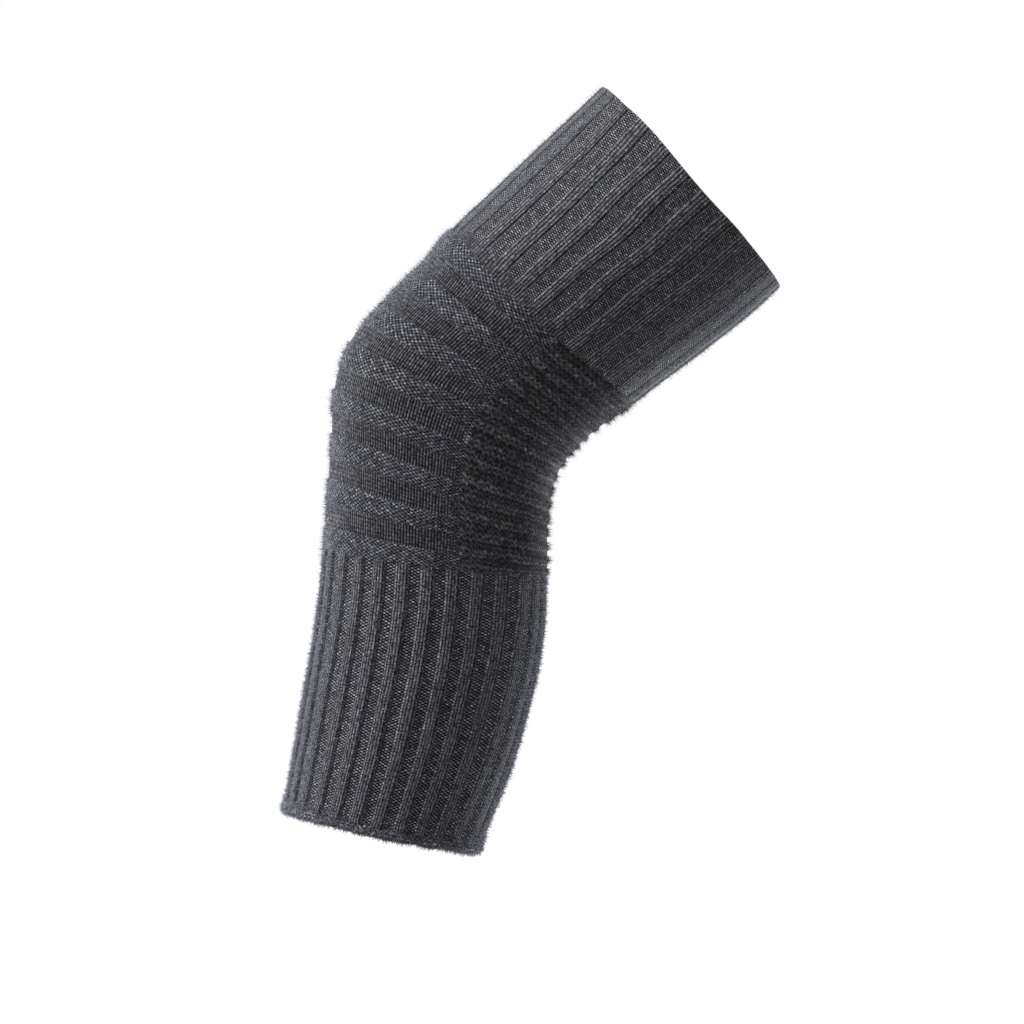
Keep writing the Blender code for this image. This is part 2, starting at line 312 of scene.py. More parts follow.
def calf_bend(s, wale):
    """The same for the calf's ribs, of which the rear ones run down towards the front."""
    across = from_front(wale)
    down = np.clip((s - KNEE_BOTTOM) / (LENGTH - KNEE_BOTTOM), 0, 1)
    rear = 3.2 * np.clip((across - 66) / 22, 0, 1) ** 2 * (1 - down**1.5)
    forward = 0.6 * down * smooth_step((across - 60) / 10)
    return -side_of(wale) * (rear - forward) * window(across, 1, 2, 96, 111) + 0.1 * waver(s, wale, 3)


def plain_knit(wale):
    """The strip between the thigh's ribs and the knee."""
    # the whole strip is painted darker than the ribs
    shade = 0.72
    return np.stack([STRIP_DEPTH + PLAIN_GROOVE * wale_grooves(wale), 0 * wale, 0 * wale + shade])


def pulled_flat(wale):
    """The share of the bands' relief that is left."""
    return FRONT_SHARE + (1 - FRONT_SHARE) * smooth_step((from_front(wale) - 8) / 28)


def front_bands(s, wale):
    """The knee's front panel: raised purl bands over sunk knit ones."""
    s = s + 0.3 * waver(s, wale, 5)
    places, depths, shade = [BAND_EDGES[0]], [BAND_RELIEF / 2], 1.0
    for start, end in zip(BAND_EDGES, BAND_EDGES[1:-1]):
        turn_down = start + (end - start) * BAND_SHARE
        places += [start + BAND_FLANK / 2, (start + turn_down) / 2, turn_down - BAND_FLANK]
        depths += [BAND_LIP, 0.0, BAND_LIP]
        places += [turn_down + BAND_FLANK, end - BAND_FLANK, end - BAND_FLANK / 2]
        depths += [BAND_SHOULDER, BAND_RELIEF, BAND_RELIEF + BAND_LIP]
        # crease is painted shade along the lower end of each sunk band, where the next raised band rises, and
        # lit_edge a painted highlight along the upper edge of each raised band.
        crease = 0.5 * ridge(s, end - 0.3, 0.6)
        lit_edge = 0.22 * ridge(s, start + 1.3, 0.7)
        shade = shade - crease + lit_edge
    places += [BAND_EDGES[-2] + BAND_FLANK / 2, BAND_EDGES[-1] + 5]
    depths += [0.0, 0.0]
    depth = np.interp(s, places, depths)
    sunk = smooth_step((depth - 0.12) / 0.3)
    flat = pulled_flat(wale)
    across = from_front(wale)
    lined = sunk * (1 - 0.7 * smooth_step((across - 56) / 8))
    depth = depth * flat + PLAIN_GROOVE * wale_grooves(wale) * lined
    # dimming is painted shade over the sunk bands, and the factor below it darkens the panel towards the
    # seam, as painted shade towards the back.
    near_seam = smooth_step((across - 50) / 12)
    dimming = 0.6 * (flat - 0.25) * (1 - 0.45 * near_seam)
    painted_light_by_seam = 1 - 0.15 * smooth_step((across - 44) / 20)
    return np.stack([depth, 1 - lined, (1 + (shade - 1) * flat) * (1 - dimming * sunk) * painted_light_by_seam])


def back_welts(s, wale):
    """The knee's back panel: round welts with grooves between them."""
    at = np.interp(s + 0.5 * waver(s, wale, 9), BAND_EDGES, BAND_NUMBERS * WELTS_PER_BAND)
    groove = 0.5 + 0.5 * np.cos(2 * math.pi * (at - WELT_SHIFT))
    # shaded puts painted shade in the grooves between welts, set off to one side as the light falls, and the
    # factor after it paints light on the welts near the seam, where they meet the brighter front.
    shaded = 0.5 + 0.5 * np.cos(2 * math.pi * (at - WELT_SHIFT - 0.12))
    painted_light_by_seam = 1 + 0.3 * ridge(from_front(wale), SEAM_WALE, 4)
    return np.stack([WELT_RELIEF * groove, 0 * groove + 1, (1.2 - 0.72 * shaded) * painted_light_by_seam])


def relief(s, wale):
    """What lies at the outer face, for arrays of distances and wales."""
    across = from_front(wale)
    thigh = ribs(wale + thigh_bend(s, wale), THIGH_RIBS)
    calf = ribs(wale + calf_bend(s, wale), CALF_RIBS)
    seam = SEAM_WALE + 1 + 1.4 * waver(s, 0 * wale, 17)
    on_front = smooth_step((seam - across) / 2)
    strip = on_front * smooth_step((s - KNEE_TOP + PLAIN_STRIP + 0.8 * waver(s, wale, 4)) / 3)
    thigh = blend(strip, thigh, plain_knit(wale))
    knee = blend(on_front, back_welts(s, wale), front_bands(s, wale))
    below_thigh = smooth_step((s - KNEE_TOP) / PATTERN_STEP + 0.5)
    on_calf = smooth_step((s - KNEE_BOTTOM) / PATTERN_STEP + 0.5)
    depth, purl, shade = blend(on_calf, blend(below_thigh, thigh, knee), calf)
    lip = np.clip(1 - s / LIP_LENGTH, 0, 1)
    rounding = LIP_SINK * (1 - np.sqrt(1 - lip**2))
    flare = CALF_FLARE * smooth_step((s - LENGTH + CALF_FLARE_LENGTH) / CALF_FLARE_LENGTH)
    swell = KNEE_SWELL * window(s - KNEE_TOP, -2, 8, 34, 46) * smooth_step((40 - across) / 26)
    depth = depth * (1 - lip) + rounding - flare - swell + UNEVEN * waver(s, wale, 11)
    # painted light on the rounded lip of the thigh opening
    painted_lip_light = 0.3
    return np.stack([depth, purl, shade + painted_lip_light * lip])


def course_number(s, front):
    """Which row of stitches lies at distance s."""
    if front:
        bands = np.interp(s, BAND_EDGES, BAND_NUMBERS * FRONT_COURSES)
    else:
        bands = np.interp(s, BAND_EDGES, BAND_NUMBERS * BACK_COURSES) - BACK_FIRST
    above = np.minimum(s - KNEE_TOP, 0) / THIGH_COURSE
    below = np.maximum(s - KNEE_BOTTOM, 0) / CALF_COURSE
    return bands + above + below


# ---------------------------------------------------------------- meshes

def mesh_object(name, vertices, faces, corner_uv=None, point_values=None):
    """A mesh object from arrays: faces is a list of arrays with one row of corners for each face."""
    mesh = bpy.data.meshes.new(name)
    mesh.vertices.add(len(vertices))
    mesh.vertices.foreach_set("co", np.asarray(vertices, np.float32).ravel())
    corners = np.concatenate([f.ravel() for f in faces]).astype(np.int32)
    sizes = np.concatenate([np.full(len(f), f.shape[1]) for f in faces])
    starts = np.concatenate([[0], np.cumsum(sizes)[:-1]]).astype(np.int32)
    mesh.loops.add(len(corners))
    mesh.loops.foreach_set("vertex_index", corners)
    mesh.polygons.add(len(sizes))
    mesh.polygons.foreach_set("loop_start", starts)
    if corner_uv is not None:
        layer = mesh.uv_layers.new(name="Stitches")
        layer.data.foreach_set("uv", np.asarray(corner_uv, np.float32).ravel())
    for key, values in (point_values or {}).items():
        attribute = mesh.attributes.new(key, "FLOAT", "POINT")
        attribute.data.foreach_set("value", np.asarray(values, np.float32).ravel())
    mesh.update()
    mesh.validate()
    mesh.shade_smooth()
    item = bpy.data.objects.new(name, mesh)
    bpy.context.scene.collection.objects.link(item)
    return item


def grid_faces(rows, columns, closed, offset, inside_out):
    """Quads over a grid of points, and the row and column of each corner. A closed grid's last strip joins
    the last column to the first."""
    strips = columns if closed else columns - 1
    i, j = np.meshgrid(np.arange(rows - 1), np.arange(strips), indexing="ij")
    i, j = i.ravel(), j.ravel()
    corner_rows = np.stack([i, i + 1, i + 1, i], axis=1)
    corner_columns = np.stack([j, j, j + 1, j + 1], axis=1)
    if inside_out:
        corner_rows, corner_columns = corner_rows[:, ::-1], corner_columns[:, ::-1]
    faces = offset + corner_rows * columns + corner_columns % columns
    return faces, corner_rows, corner_columns


def side_faces(outer_rows, inner_rows, outer_points, inner_points):
    """Triangles across a cut side, between the points of its outer and inner rows."""
    middles = (outer_rows[:-1] + outer_rows[1:]) / 2
    nearest = np.searchsorted((inner_rows[:-1] + inner_rows[1:]) / 2, middles)
    turn = np.searchsorted(nearest, np.arange(len(inner_rows) - 1), side="right")
    to_inner = np.stack([outer_points[:-1], outer_points[1:], inner_points[nearest]], axis=1)
    to_outer = np.stack([inner_points[1:], inner_points[:-1], outer_points[turn]], axis=1)
    return np.concatenate([to_inner, to_outer])


def straight(s, wale):
    return 0 * s


def cloth_wall(name, rows, first_column, last_column, front=True, bend=straight):
    """A wall of knitting over the given rows and columns. It is closed where the columns go right round."""
    closed = last_column - first_column == COLUMNS
    columns = np.arange(first_column, last_column + (0 if closed else 1))
    wales = columns / POINTS_PER_WALE
    s, wale = np.meshgrid(rows, wales, indexing="ij")
    depth, purl, shade = relief(s, wale)
    inner_rows = np.linspace(rows[0], rows[-1], INNER_ROWS)
    inner_s, inner_wale = np.meshgrid(inner_rows, wales, indexing="ij")
    inner_relief, inner_purl, inner_shade = relief(inner_s, inner_wale)
    inner_depth = INSIDE - INSIDE_SHARE * inner_relief + INSIDE_MARGIN
    vertices = np.concatenate([
        place(s, wale, depth).reshape(-1, 3),
        place(inner_s, inner_wale, inner_depth).reshape(-1, 3),
    ])
    count, width = s.size, len(columns)
    outer, outer_i, outer_j = grid_faces(len(rows), width, closed, 0, False)
    inner, inner_i, inner_j = grid_faces(len(inner_rows), width, closed, count, True)
    faces = [outer, inner]

    def stitch(grid_s, grid_wale, i, j):
        """The wale and course of corners, given by their row and column in a grid of points."""
        across = (first_column + j) / POINTS_PER_WALE + bend(grid_s, grid_wale)[i, j % width]
        return np.stack([across, course_number(grid_s[i, j % width], front)], axis=-1)

    uv = [stitch(s, wale, outer_i, outer_j), stitch(inner_s, inner_wale, inner_i, inner_j)]
    strips = width if closed else width - 1
    j = np.arange(strips)
    beside = (j + 1) % width
    last_out, last_in = (len(rows) - 1) * width, count + (len(inner_rows) - 1) * width
    faces.append(np.stack([j, beside, count + beside, count + j], axis=1))
    faces.append(np.stack([last_out + j, last_in + j, last_in + beside, last_out + beside], axis=1))
    top = stitch(s, wale, 0, np.stack([j, j + 1, j + 1, j], axis=1))
    uv.append(top - [(0, 0), (0, 0), RIM_STEP, RIM_STEP])
    bottom = stitch(s, wale, -1, np.stack([j, j, j + 1, j + 1], axis=1))
    uv.append(bottom + [(0, 0), RIM_STEP, RIM_STEP, (0, 0)])
    if not closed:
        for side, turned in ((0, True), (width - 1, False)):
            outer_side = side + np.arange(len(rows)) * width
            inner_side = count + side + np.arange(len(inner_rows)) * width
            cut = side_faces(rows, inner_rows, outer_side, inner_side)
            faces.append(cut[:, ::-1] if turned else cut)
            uv.append(np.full((cut.size, 2), wales[side]))
    # the inner face gets 0.8 of its shade: painted shade inside the tube
    values = {
        "purl": np.concatenate([purl.ravel(), inner_purl.ravel()]),
        "shade": np.concatenate([shade.ravel(), 0.8 * inner_shade.ravel()]),
    }
    return mesh_object(name, vertices, faces, np.concatenate([part.reshape(-1, 2) for part in uv]), values)


def even_rows(low, high, step):
    return np.linspace(low, high, max(2, math.ceil((high - low) / step) + 1))


def thigh_rows():
    lip = np.array([0.0, 0.15, 0.4, 0.75])
    ribbed = even_rows(1.2, KNEE_TOP - PLAIN_STRIP - 3, 4.0)
    plain = even_rows(KNEE_TOP - PLAIN_STRIP - 2.2, KNEE_TOP, 0.75)
    return np.concatenate([lip, ribbed, plain])


def knee_rows(step):
    return even_rows(KNEE_TOP, KNEE_BOTTOM, step)


def calf_rows():
    top = KNEE_BOTTOM + np.array([0.0, 0.35, 0.8, 1.5])
    ribbed = even_rows(KNEE_BOTTOM + 3, LENGTH - 8, 4.0)
    flared = even_rows(LENGTH - 6, LENGTH, 1.5)
    return np.concatenate([top, ribbed, flared])


def on_roll(wale, angle, reach):
    """(s, depth) of places on the rolled hem: angle is taken round the roll from the ribs outwards, and
    reach is the distance from its middle."""
    radius = HEM_ROLL / 2
    s = LENGTH + radius - reach * np.cos(angle) + 0.35 * waver(0 * wale, wale * 2, 22)
    return s, radius - HEM_FLARE - reach * np.sin(angle)


def rolled_hem(name):
    """The cast-off edge: a roll of slanting chain stitches below the calf ribs."""
    corners, stitches = 16, WALES // 2
    roll = np.arange(corners) * (2 * math.pi / corners)
    wale, angle = np.meshgrid(np.arange(COLUMNS) / POINTS_PER_WALE, roll, indexing="ij")
    phase = wale * stitches / WALES + 0.35 * np.sin(angle)
    rough = np.random.default_rng(23).normal(0, 0.2, wale.shape)
    rough = (rough + np.roll(rough, 1, axis=0)) / 2
    bulge = 0.35 * np.abs(np.sin(math.pi * phase)) - 0.2 + 0.2 * waver(angle * 8, wale * 3, 21) + rough
    s, depth = on_roll(wale, angle, HEM_ROLL / 2 + bulge)
    vertices = place(s, wale, depth).reshape(-1, 3)
    j, k = np.meshgrid(np.arange(COLUMNS), np.arange(corners), indexing="ij")
    j, k = j.ravel(), k.ravel()
    corner_j = np.stack([j, j, j + 1, j + 1], axis=1)
    corner_k = np.stack([k, k + 1, k + 1, k], axis=1)
    faces = (corner_j % COLUMNS) * corners + corner_k % corners
    courses_round = 14
    uv = np.stack([corner_j / POINTS_PER_WALE, corner_k * (courses_round / corners)], axis=-1)
    # shade paints light on the roll's bulges and shade in its hollows
    values = {
        "purl": np.full(wale.size, 1.0),
        "shade": 0.8 + 1.2 * bulge.ravel(),
    }
    return mesh_object(name, vertices, [faces], uv.reshape(-1, 2), values)


# ---------------------------------------------------------------- fuzz

# Lengths and root_width are in millimetres. typical is added to the shortest length in the mean, before those
# over the longest are cut to it.
Hairs = namedtuple("Hairs", "count shortest typical longest root_width segments curl")
LEAN = (2, 52)  # degrees between a fibre and the way out of the cloth
ROOT_DEPTH = 0.12  # roots lie this far under the face
THIRDS = (0, 2.094, 4.189)  # angles of a fibre's three corners


def nap(count, shortest, typical, longest, root_width):
    """Short straight fibres."""
    return Hairs(count, shortest, typical, longest, root_width, 1, 0)


def curls(count, shortest, typical, longest):
    """Long thin fibres that bend."""
    return Hairs(count, shortest, typical, longest, 0.16, 3, 0.4)


def cloth_roots(count, s_range, wale_range):
    """(points, ways out) of places on a piece, most of them on its higher yarn."""
    s = rng.uniform(*s_range, 2 * count)
    wale = rng.uniform(*wale_range, 2 * count)
    depth = relief(s, wale)[0]
    kept = np.argsort(depth + rng.exponential(0.25, 2 * count))[:count]
    s, wale, depth = s[kept], wale[kept], depth[kept]
    out = directions(s, wale)[2]
    return skin(s, wale) - out * (depth + ROOT_DEPTH)[:, None], out


def hem_roots(count):
    """The same on the outer and lower faces of the rolled hem."""
    wale = rng.uniform(0, WALES, count)
    angle = rng.uniform(0.1 * math.pi, 1.25 * math.pi, count)
    s, depth = on_roll(wale, angle, HEM_ROLL / 2 - 0.1)
    along, _, out = directions(s, wale)
    away = out * np.sin(angle)[:, None] - along * np.cos(angle)[:, None]
    return skin(s, wale) - out * depth[:, None], away


def hair_points(kind, point, out):
    """The points of three-sided fibres that taper to a tip, as one array (fibre, point, xyz)."""
    heading = unit(np.cross(out, rng.normal(size=out.shape)))
    lean = np.radians(rng.uniform(*LEAN, kind.count))[:, None]
    direction = out * np.cos(lean) + heading * np.sin(lean)
    length = kind.shortest + rng.exponential(kind.typical, kind.count)
    length = np.minimum(length, kind.longest)[:, None]
    turn = kind.curl * rng.normal(size=(kind.count, 3))
    points = []
    for k in range(kind.segments):
        side = unit(np.cross(direction, heading))
        other = np.cross(direction, side)
        width = kind.root_width / 2 * (1 - k / kind.segments)
        points += [point + width * (side * math.cos(a) + other * math.sin(a)) for a in THIRDS]
        point = point + direction * length / kind.segments
        direction = unit(direction + turn)
    return np.stack(points + [point], axis=1)


def hair_faces(segments):
    """The triangles of one fibre, over the order of points that hair_points gives."""
    faces = [(0, 2, 1)]
    for k in range(segments - 1):
        low, high = 3 * k, 3 * k + 3
        for a, b in ((0, 1), (1, 2), (2, 0)):
            faces += [(low + a, low + b, high + b), (low + a, high + b, high + a)]
    ring, tip = 3 * segments - 3, 3 * segments
    return np.array(faces + [(ring + a, ring + b, tip) for a, b in ((0, 1), (1, 2), (2, 0))])


def fuzz(name, kinds, roots, *ranges):
    """Loose fibres that stand off the yarn of one piece, as one closed mesh of each."""
    points, faces, shades, first = [], [], [], 0
    for kind in kinds:
        hair = hair_points(kind, *roots(kind.count, *ranges))
        starts = first + np.arange(kind.count) * hair.shape[1]
        faces.append((starts[:, None, None] + hair_faces(kind.segments)[None]).reshape(-1, 3))
        points.append(hair.reshape(-1, 3))
        shades.append(np.repeat(rng.random(kind.count), hair.shape[1]))
        first += hair.shape[0] * hair.shape[1]
    vertices = np.concatenate(points) * MM
    return mesh_object(name, vertices, faces, None, {"shade": np.concatenate(shades)})


# ---------------------------------------------------------------- materials

class Graph:
    """A material's node tree, with a short call for each kind of node that it uses."""

    def __init__(self, name):
        self.material = bpy.data.materials.new(name)
        self.material.use_nodes = True
        self.tree = self.material.node_tree
        self.shader = self.tree.nodes["Principled BSDF"]

    def feed(self, socket, value):
        if isinstance(value, bpy.types.NodeSocket):
            self.tree.links.new(value, socket)
        elif value is not None:
            socket.default_value = value

    def math(self, operation, a, b=None, c=None):
        node = self.tree.nodes.new("ShaderNodeMath")
        node.operation = operation
        for socket, value in zip(node.inputs, (a, b, c)):
            self.feed(socket, value)
        return node.outputs[0]

    def spread(self, value, low, high, to_low=0.0, to_high=1.0):
        """value's range low to high, stretched to another range and held inside it."""
        node = self.tree.nodes.new("ShaderNodeMapRange")
        for socket, number in zip(node.inputs, (value, low, high, to_low, to_high)):
            self.feed(socket, number)
        return node.outputs[0]

    def blend(self, share, a, b):
        """a where share is 0 and b where it is 1, for numbers."""
        node = self.tree.nodes.new("ShaderNodeMix")
        for socket, value in zip(node.inputs[0:1] + node.inputs[2:4], (share, a, b)):
            self.feed(socket, value)
        return node.outputs[0]

    def colour_blend(self, share, a, b, kind="MIX"):
        node = self.tree.nodes.new("ShaderNodeMix")
        node.data_type = "RGBA"
        node.blend_type = kind
        self.feed(node.inputs[0], share)
        self.feed(node.inputs[6], a)
        self.feed(node.inputs[7], b)
        return node.outputs[2]

    def attribute(self, name):
        node = self.tree.nodes.new("ShaderNodeAttribute")
        node.attribute_name = name
        return node.outputs["Fac"]

    def stitches(self):
        """The wale and the course at the shaded point."""
        uv = self.tree.nodes.new("ShaderNodeUVMap")
        uv.uv_map = "Stitches"
        parts = self.tree.nodes.new("ShaderNodeSeparateXYZ")
        self.feed(parts.inputs[0], uv.outputs[0])
        return parts.outputs[0], parts.outputs[1]

    def vector(self, x, y, z=0.0):
        node = self.tree.nodes.new("ShaderNodeCombineXYZ")
        for socket, value in zip(node.inputs, (x, y, z)):
            self.feed(socket, value)
        return node.outputs[0]

    def place(self):
        return self.tree.nodes.new("ShaderNodeTexCoord").outputs["Object"]

    def noise(self, vector, scale, detail=2.0, roughness=0.5):
        node = self.tree.nodes.new("ShaderNodeTexNoise")
        for socket, value in zip(
            (node.inputs["Vector"], node.inputs["Scale"], node.inputs["Detail"], node.inputs["Roughness"]),
            (vector, scale, detail, roughness),
        ):
            self.feed(socket, value)
        return node.outputs["Fac"]

    def speckle(self, vector):
        """A number from 0 to 1 that differs in each cell of one unit."""
        node = self.tree.nodes.new("ShaderNodeTexWhiteNoise")
        node.noise_dimensions = "3D"
        self.feed(node.inputs["Vector"], vector)
        return node.outputs["Value"]

    def bump(self, height, distance):
        node = self.tree.nodes.new("ShaderNodeBump")
        self.feed(node.inputs["Height"], height)
        self.feed(node.inputs["Distance"], distance)
        self.feed(node.inputs["Strength"], 1.0)
        self.feed(self.shader.inputs["Normal"], node.outputs[0])


YARN_DARK = (0.006, 0.006, 0.007, 1.0)
FIBRE_DARK = (0.03, 0.031, 0.038, 1.0)
FIBRE_LIGHT = (0.46, 0.475, 0.58, 1.0)
# The back of the knee's fibres are the same wool painted darker, as painted shade.
SHADED_FIBRE_LIGHT = (0.26, 0.267, 0.325, 1.0)
WARM = (1.03, 1.0, 0.96, 1.0)
COOL = (0.97, 1.0, 1.05, 1.0)
PLAIN = (1.0, 1.0, 1.0, 1.0)
VIOLET = (0.99, 0.98, 1.05, 1.0)

# gaps holds the loop height that is still dark and the one that is fully light; the dark between loops is
# painted shade. columns says how light knit is between two wales and on one, the dark between wales being
# painted shade too, and rungs how much its rows show, by painted shade between them. zigzag and staggered
# shape the purl loops, drift is how far the stitches wander, speckle how far one loop's grey differs from the
# next one's, and sheen how much light the cloth's own fuzz catches at a grazing angle.
Yarn = namedtuple("Yarn", "light gaps columns rungs zigzag staggered drift speckle sheen")
THIGH_YARN = Yarn((0.34, 0.346, 0.366, 1.0), (0.42, 0.88), (0.02, 0.74), 0.4, 0.0, 1.0, 1.3, 0.35, 0.6)
CALF_YARN = Yarn((0.335, 0.341, 0.366, 1.0), (0.42, 0.88), (0.03, 0.74), 0.4, 0.0, 1.0, 1.3, 0.5, 0.6)
KNEE_YARN = Yarn((0.25, 0.254, 0.274, 1.0), (0.35, 0.84), (0.02, 1.05), 0.55, 0.0, 1.0, 1.3, 0.6, 0.6)
# The back panel's yarn is the same wool set much darker: painted shade on the back of the knee.
BACK_YARN = Yarn((0.145, 0.146, 0.154, 1.0), (0.0, 1.0), (0.3, 0.7), 0.3, 0.35, 0.4, 3.0, 0.45, 0.08)
HEM_YARN = Yarn((0.42, 0.42, 0.44, 1.0), (0.2, 0.85), (0.3, 0.7), 0.3, 0.5, 0.5, 3.0, 0.5, 0.6)

# Where the shaded point lies in the knitting: side and rows swing between -1 and 1 across the wales and the
# courses, loops is how high the point lies on a loop of yarn, 0 to 1, and cell is a place that each loop has
# for itself.
Stitch = namedtuple("Stitch", "side rows loops cell column wale course")
DRIFT_SCALE = (0.35, 0.22)  # patches of drift to a wale and to a course
WALE_DRIFT, COURSE_DRIFT = 0.3, 0.8  # how far drift moves a stitch, in wales and courses
SLANT = -0.12  # is added to the course over one wale's width, so that each loop leans

# How many patches lie along one wale's width and one course, and the shades that they lie between.
Mottle = namedtuple("Mottle", "across along darkest lightest")
LINES = Mottle(7.3, 0.13, 0.45, 1.55)
TWIST = Mottle(1.1, 0.5, 0.2, 1.8)
PATCHES = Mottle(0.45, 0.3, 0.75, 1.25)
FIBRES = Mottle(1.5, 0.7, 0.1, 1.9)


def stitch_at(g, yarn):
    wale, course = g.stitches()
    across = g.math("MULTIPLY", wale, DRIFT_SCALE[0])
    along = g.math("MULTIPLY", course, DRIFT_SCALE[1])
    drift = g.math("SUBTRACT", g.noise(g.vector(across, along), 1.0), 0.5)
    wale = g.math("MULTIPLY_ADD", drift, WALE_DRIFT * yarn.drift, wale)
    column = g.math("FLOOR", wale)
    slant = g.math("SUBTRACT", g.math("SUBTRACT", wale, column), 0.5)
    course = g.math("MULTIPLY_ADD", slant, SLANT, course)
    course = g.math("MULTIPLY_ADD", drift, COURSE_DRIFT * yarn.drift, course)
    side = g.math("SINE", g.math("MULTIPLY", wale, math.pi))
    turn = g.math("MULTIPLY_ADD", side, yarn.zigzag, course)
    rows = g.math("COSINE", g.math("MULTIPLY", turn, math.pi))
    narrowed = g.math("MULTIPLY", side, g.math("ABSOLUTE", side))
    loops = g.blend(yarn.staggered, rows, g.math("MULTIPLY", narrowed, rows))
    pair = g.math("FLOOR", g.math("MULTIPLY", g.math("ADD", g.math("ADD", course, 1.0), column), 0.5))
    loops = g.math("MULTIPLY_ADD", loops, 0.5, 0.5)
    return Stitch(side, rows, loops, g.vector(column, pair), column, wale, course)


def mottle(g, wale, course, kind):
    """Soft patches between two shades."""
    across = g.math("MULTIPLY", wale, kind.across)
    along = g.math("MULTIPLY", course, kind.along)
    noise = g.noise(g.vector(across, along), 1.0, 2.0, 0.6)
    return g.spread(noise, 0.28, 0.72, kind.darkest, kind.lightest)


def heather(g, purl, at, speckle):
    """How light the yarn is, about 1 in the mean: each loop of purl has a grey of its own, and each wale of
    knit changes slowly along its length. Fibres of several greys are twisted together in both."""
    skew = 1.5
    loop = g.math("POWER", g.speckle(at.cell), skew)
    loop = g.spread(loop, 0.0, 1.0, 1 - speckle, 1 + skew * speckle)
    line = mottle(g, at.column, at.course, LINES)
    twist = mottle(g, at.wale, at.course, TWIST)
    knit = g.math("MULTIPLY", line, twist)
    patches = mottle(g, at.wale, at.course, PATCHES)
    fibres = mottle(g, at.wale, at.course, FIBRES)
    return g.math("MULTIPLY", g.blend(purl, knit, loop), g.math("MULTIPLY", patches, fibres))


def yarn_finish(g, sheen):
    """The parts of the finish that are the same in every piece of the cloth."""
    shader = g.shader.inputs
    shader["Roughness"].default_value = 0.95
    shader["Specular IOR Level"].default_value = 0.12
    shader["Sheen Weight"].default_value = sheen
    shader["Sheen Roughness"].default_value = 0.3
    shader["Sheen Tint"].default_value = (0.82, 0.87, 1.0, 1.0)


def times(g, colour, number):
    return g.colour_blend(1.0, colour, g.vector(number, number, number), "MULTIPLY")


HEATHER_BUMP = 0.15  # of a stitch's height that lighter fibres stand out by
STITCH_HEIGHT = 0.0004  # metres


def knit_material(name, yarn):
    """Heathered charcoal wool: purl shows separate loops, and in knit they run together along the wale."""
    g = Graph(name)
    purl = g.attribute("purl")
    at = stitch_at(g, yarn)
    column = g.spread(g.math("ABSOLUTE", at.side), 0.2, 1.0, *yarn.columns)
    knit = g.math("MULTIPLY", column, g.spread(at.rows, -1.0, 1.0, 1.0 - yarn.rungs, 1.0))
    height = g.blend(purl, knit, at.loops)
    lit = g.blend(purl, knit, g.spread(at.loops, *yarn.gaps))
    light = heather(g, purl, at, yarn.speckle)
    # the mesh's shade, painted light and shade, and lit, whose dark between loops and wales is painted shade,
    # are multiplied into the yarn's colour
    strength = g.math("MULTIPLY", g.math("MULTIPLY", lit, light), g.attribute("shade"))
    tint = g.colour_blend(g.speckle(at.cell), WARM, COOL)
    patches = g.spread(g.noise(g.place(), 60.0, 1.0), 0.5, 0.65)
    tint = g.colour_blend(1.0, tint, g.colour_blend(patches, PLAIN, VIOLET), "MULTIPLY")
    wool = g.colour_blend(1.0, tint, yarn.light, "MULTIPLY")
    colour = g.colour_blend(1.0, times(g, wool, strength), YARN_DARK, "ADD")
    g.feed(g.shader.inputs["Base Color"], colour)
    yarn_finish(g, yarn.sheen)
    g.bump(g.math("MULTIPLY_ADD", light, HEATHER_BUMP, height), STITCH_HEIGHT)
    return g.material


def fuzz_material(name, lightest, sheen):
    g = Graph(name)
    colour = g.colour_blend(g.attribute("shade"), FIBRE_DARK, lightest)
    g.feed(g.shader.inputs["Base Color"], colour)
    yarn_finish(g, sheen)
    return g.material


def floor_material():
    g = Graph("pale_floor")
    grain = g.noise(g.place(), 3.0, 1.0)
    colour = g.colour_blend(grain, (0.80, 0.80, 0.80, 1.0), (0.84, 0.84, 0.84, 1.0))
    g.feed(g.shader.inputs["Base Color"], colour)
    g.shader.inputs["Roughness"].default_value = 1.0
    g.shader.inputs["Emission Color"].default_value = (1.0, 1.0, 1.0, 1.0)
    g.shader.inputs["Emission Strength"].default_value = 0.25
    return g.material


# ---------------------------------------------------------------- pieces on the frame

THIGH_ROUND, KNEE_ROUND, CALF_ROUND = 0.36, 0.34, 0.32  # metres round the tube as knitted, off the leg
FRONT_LONGER = 1.3  # the front panel's length over that of the middle line beside it


def tie(piece, material):
    """Puts a finished piece on the frame."""
    piece.data.materials.append(material)
    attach(piece, "root")
    return piece


def build_cloth():
    """The five knitted pieces, by the name of the solid that each stands for."""
    front = SEAM_WALE * POINTS_PER_WALE
    pieces = {
        "thigh_rib": cloth_wall("thigh_rib_cloth", thigh_rows(), 0, COLUMNS, bend=thigh_bend),
        "knee_front": cloth_wall("knee_front_cloth", knee_rows(1.0), -front, front),
        "knee_back": cloth_wall("knee_back_cloth", knee_rows(1.3), front, COLUMNS - front, front=False),
        "calf_rib": cloth_wall("calf_rib_cloth", calf_rows(), 0, COLUMNS, bend=calf_bend),
        "calf_hem": rolled_hem("calf_hem_cloth"),
    }
    materials = {
        "thigh_rib": knit_material("heather_thigh", THIGH_YARN),
        "knee_front": knit_material("heather_knee", KNEE_YARN),
        "knee_back": knit_material("heather_back", BACK_YARN),
        "calf_rib": knit_material("heather_calf", CALF_YARN),
        "calf_hem": knit_material("heather_hem", HEM_YARN),
    }
    for node, piece in pieces.items():
        tie(piece, materials[node])
        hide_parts(node)
    return pieces


